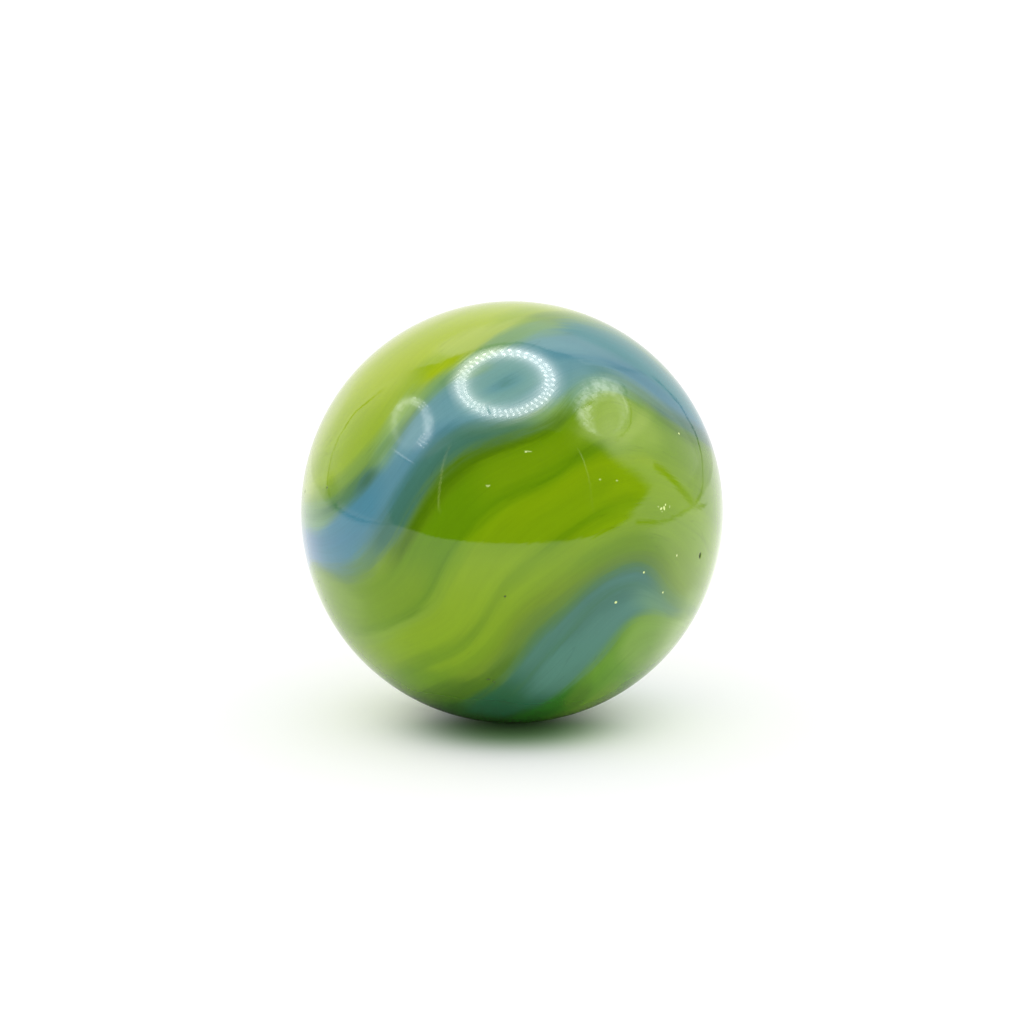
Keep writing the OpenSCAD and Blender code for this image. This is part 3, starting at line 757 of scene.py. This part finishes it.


# small marks in the surface, by where the front view shows them: x, y, half length and half width
# (outline radii), turn (degrees), depth (share of the half width) and kind
# the pale, faint and arc marks are shallow pits whose lighter colour is partly a painted highlight: the small glints in
# them
MARKS = [
    (0.076, 0.287, 0.022, 0.0040, -4, 0.2, "faint"), (0.066, 0.284, 0.006, 0.0030, 0, 0.3, "pale"), (-0.114, 0.126, 0.013, 0.006, 0, 0.2, "arc"),
    (0.417, 0.154, 0.0070, 0.0050, 0, 0.2, "faint"), (0.497, 0.149, 0.0070, 0.0046, 0, 0.2, "faint"),
    (0.7214, 0.0185, 0.0070, 0.0125, 12, 0.45, "pale"), (0.7067, 0.0160, 0.0100, 0.0055, 35, 0.4, "pale"), (0.7275, 0.0345, 0.0045, 0.0060, 0, 0.4, "pale"),
    (0.7469, 0.0246, 0.0050, 0.0085, -15, 0.3, "faint"), (0.6934, 0.0251, 0.0075, 0.0040, -20, 0.3, "faint"), (0.7110, 0.0020, 0.0045, 0.0045, 0, 0.3, "faint"),
    (0.791, 0.372, 0.0075, 0.0058, 0, 0.5, "pale"),
    (0.781, -0.206, 0.0050, 0.0065, 0, 0.4, "pale"), (0.715, -0.381, 0.0058, 0.0064, 0, 0.5, "pale"),
    (0.625, -0.286, 0.0064, 0.0064, 0, 0.5, "pale"), (0.492, -0.428, 0.0080, 0.0072, 0, 0.5, "pale"),
    (-0.033, -0.400, 0.0075, 0.0055, 20, 0.6, "dark"), (0.891, -0.206, 0.0125, 0.019, -12, 0.5, "dark"),
    (-0.980, 0.097, 0.008, 0.008, 0, 0.5, "dark"), (-0.914, -0.329, 0.006, 0.006, 0, 0.5, "dark"),
    (-0.881, -0.419, 0.006, 0.006, 0, 0.5, "dark"), (-0.112, -0.793, 0.012, 0.0065, 15, 0.5, "dark"),
    (-0.085, -0.805, 0.007, 0.0055, 0, 0.5, "dark"), (-0.876, 0.116, 0.008, 0.006, 30, 0.5, "dark"),
]


# an evenly divided ball, divided again where the marks are cut
base_dirs, quads = cube_sphere(112)
c = base_dirs[quads].mean(1)
nrm = np.cross(base_dirs[quads[:, 1]] - base_dirs[quads[:, 0]], base_dirs[quads[:, 2]] - base_dirs[quads[:, 0]])
flip = (nrm * c).sum(1) < 0
quads[flip] = quads[flip][:, ::-1]
bm = bmesh.new()
bverts = [bm.verts.new(tuple(map(float, p))) for p in base_dirs]
for q in quads:
    bm.faces.new([bverts[int(i)] for i in q])
bm.verts.ensure_lookup_table()
mark_at = [on_ball(m[0], m[1])[0] for m in MARKS]
near = np.zeros(len(base_dirs), bool)
for p, m in zip(mark_at, MARKS):
    near |= np.linalg.norm(base_dirs - p, axis=1) < 1.5 * max(m[2], m[3]) + 0.012
bm.edges.index_update()
edges = {e.index: e for i in np.flatnonzero(near) for e in bverts[int(i)].link_edges}
bmesh.ops.subdivide_edges(bm, edges=[edges[i] for i in sorted(edges)], cuts=5, use_grid_fill=True)
for v in bm.verts:
    v.co.normalize()
mesh = bpy.data.meshes.new("swirl_ball")
bm.to_mesh(mesh)
bm.free()
ball = bpy.data.objects.new("swirl_ball", mesh)
scene.collection.objects.link(ball)
dirs = np.empty(len(mesh.vertices) * 3)
mesh.vertices.foreach_get("co", dirs)
dirs = dirs.reshape(-1, 3)
dirs /= np.linalg.norm(dirs, axis=1)[:, None]

pale, dark, dent = np.zeros(len(dirs)), np.zeros(len(dirs)), np.zeros(len(dirs))
for p, (x, y, a, b, turn, depth, kind) in zip(mark_at, MARKS):
    ex = CAM_RIGHT - (CAM_RIGHT @ p) * p
    ex /= np.linalg.norm(ex)
    ey = np.cross(p, ex)
    t = math.radians(turn)
    u = dirs @ (ex * math.cos(t) + ey * math.sin(t)) / a
    v = dirs @ (ey * math.cos(t) - ex * math.sin(t)) / b
    rr = np.hypot(u, v)
    if kind == "star":                                # a chip with uneven rays
        ang = np.arctan2(v, u)
        rr = rr / (0.62 + 0.38 * np.cos(5 * ang + 0.6) ** 2 + 0.15 * np.sin(2 * ang))
    if kind == "arc":                                 # a bruise bent into a bow
        rr = np.hypot(u, (v - 0.9 * u * u + 0.45))
    front = (dirs @ p) > 0.9
    m = (1.0 - smooth(rr, 0.55, 1.0)) * front * (0.4 if kind in ("arc", "faint") else 1.0)
    dent = np.maximum(dent, (1.0 - smooth(rr, 0.0, 1.0)) * front * depth * b)
    if kind == "dark":
        dark = np.maximum(dark, m)
    else:
        pale = np.maximum(pale, m)
mesh.vertices.foreach_set("co", (dirs * (1.0 - dent)[:, None] * R).ravel())
mesh.update()
mesh.shade_smooth()

psi = flow_field()(dirs)
around_axis = np.arctan2(dirs @ EAST, dirs @ FACE)
phi = np.degrees(around_axis)
SWAY = 0.009
for name, shift in (("swirl_a", -SWAY), ("swirl_b", SWAY)):
    rgba = np.ones((len(dirs), 4), np.float32)
    rgba[:, :3] = paint(psi + shift, phi)
    att = mesh.attributes.new(name, "FLOAT_COLOR", "POINT")
    att.data.foreach_set("color", rgba.ravel())
th = np.sqrt(np.maximum(1.0 - (dirs @ POLE) ** 2, 0.0))
att = mesh.attributes.new("flow", "FLOAT_VECTOR", "POINT")
att.data.foreach_set("vector", np.stack([psi, th * np.cos(around_axis), th * np.sin(around_axis)], 1).astype(np.float32).ravel())
float_attribute(ball, "pale", pale)
float_attribute(ball, "dark", dark)


# ---------------------------------------------------------------- the glass
glass = bpy.data.materials.new("fused_swirl_glass")
glass.use_nodes = True
nt = glass.node_tree
gb = nt.nodes["Principled BSDF"]


def node(kind, **values):
    nd = nt.nodes.new(kind)
    for key, value in values.items():
        setattr(nd, key, value)
    return nd


def attribute(name):
    return node("ShaderNodeAttribute", attribute_name=name)


def math_node(op, a, b, clamp=False):
    nd = node("ShaderNodeMath", operation=op, use_clamp=clamp)
    for i, v in enumerate((a, b)):
        if isinstance(v, (int, float)):
            nd.inputs[i].default_value = v
        else:
            nt.links.new(v, nd.inputs[i])
    return nd.outputs[0]


def noise_on(vector, scale, detail=2.0, rough=0.5, seed=0.0):
    """Noise on a vector stretched by scale."""
    mp = node("ShaderNodeMapping")
    mp.inputs["Scale"].default_value = scale
    mp.inputs["Location"].default_value = (seed, seed * 1.7, seed * 0.6)
    nt.links.new(vector, mp.inputs["Vector"])
    nz = node("ShaderNodeTexNoise")
    nz.inputs["Scale"].default_value = 1.0
    nz.inputs["Detail"].default_value = detail
    nz.inputs["Roughness"].default_value = rough
    nt.links.new(mp.outputs[0], nz.inputs["Vector"])
    return nz.outputs["Fac"]


def ramp(value, a, b, lo=0.0, hi=1.0):
    nd = node("ShaderNodeMapRange", interpolation_type="SMOOTHSTEP")
    nt.links.new(value, nd.inputs["Value"])
    for key, v in (("From Min", a), ("From Max", b), ("To Min", lo), ("To Max", hi)):
        nd.inputs[key].default_value = v
    return nd.outputs["Result"]


def mix_colour(fac, a, b, blend="MIX"):
    nd = node("ShaderNodeMix", data_type="RGBA", blend_type=blend)
    for sock, v in ((nd.inputs[0], fac), (nd.inputs[6], a), (nd.inputs[7], b)):
        if isinstance(v, (int, float, tuple)):
            sock.default_value = v
        else:
            nt.links.new(v, sock)
    return nd.outputs[2]


flow = attribute("flow").outputs["Vector"]
place = node("ShaderNodeTexCoord").outputs["Object"]

# strands: fine streaks choose between the painting seen a little above and a little below
wisp = ramp(noise_on(flow, (26.0, 2.6, 2.6), 4.0, 0.62, 3.1), 0.36, 0.64)
colour = mix_colour(wisp, attribute("swirl_a").outputs["Color"], attribute("swirl_b").outputs["Color"])
# thin lighter and darker cords, and a slow cloudiness
cords = noise_on(flow, (58.0, 3.0, 3.0), 3.0, 0.6, 11.7)
fine = noise_on(flow, (150.0, 9.0, 9.0), 2.0, 0.5, 23.9)
cloud = noise_on(flow, (5.0, 2.2, 2.2), 2.0, 0.5, 41.3)
light = math_node("ADD", math_node("ADD", ramp(cords, 0.25, 0.75, -0.026, 0.026), ramp(fine, 0.25, 0.75, -0.010, 0.010)),
                  ramp(cloud, 0.3, 0.7, -0.03, 0.03))
hair = ramp(math_node("ABSOLUTE", math_node("SUBTRACT", noise_on(flow, (34.0, 1.5, 1.5), 1.0, 0.4, 57.0), 0.5), 0.0), 0.0, 0.014, 0.10, 0.0)
light = math_node("SUBTRACT", light, math_node("MULTIPLY", hair, ramp(cloud, 0.45, 0.6)))
light = math_node("ADD", light, 1.0)
shade = node("ShaderNodeCombineColor")
for i in range(3):
    nt.links.new(light, shade.inputs[i])
colour = mix_colour(1.0, colour, shade.outputs[0], "MULTIPLY")
# the marks' pale colour: partly a painted highlight for the glints in the pits
colour = mix_colour(attribute("pale").outputs["Fac"], colour, (0.74, 0.86, 0.36, 1.0))
colour = mix_colour(attribute("dark").outputs["Fac"], colour, (0.045, 0.075, 0.015, 1.0))
nt.links.new(colour, gb.inputs["Base Color"])

# handled glass: faint smudges in the gloss, ground-up glass in the marks
size = 1.0 / R
smudge = noise_on(place, (2.2 * size, 2.2 * size, 3.4 * size), 4.0, 0.65, 5.0)
rub = noise_on(place, (16.0 * size, 12.0 * size, 14.0 * size), 3.0, 0.6, 9.0)
rough = math_node("ADD", ramp(smudge, 0.42, 0.68, 0.022, 0.045), ramp(rub, 0.55, 0.75, 0.0, 0.012))
marks = math_node("MAXIMUM", attribute("pale").outputs["Fac"], attribute("dark").outputs["Fac"])
rough = math_node("ADD", rough, math_node("MULTIPLY", marks, 0.35))
nt.links.new(rough, gb.inputs["Roughness"])
gb.inputs["IOR"].default_value = 1.5

# a faint unevenness along the strands
bmp = node("ShaderNodeBump")
bmp.inputs["Strength"].default_value = 0.25
bmp.inputs["Distance"].default_value = 0.0022 * R
height = math_node("ADD", math_node("MULTIPLY", cords, 0.5), math_node("MULTIPLY", rub, 0.12))
nt.links.new(height, bmp.inputs["Height"])
nt.links.new(bmp.outputs[0], gb.inputs["Normal"])
ball.data.materials.append(glass)

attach(ball, "root")
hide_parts("marble")
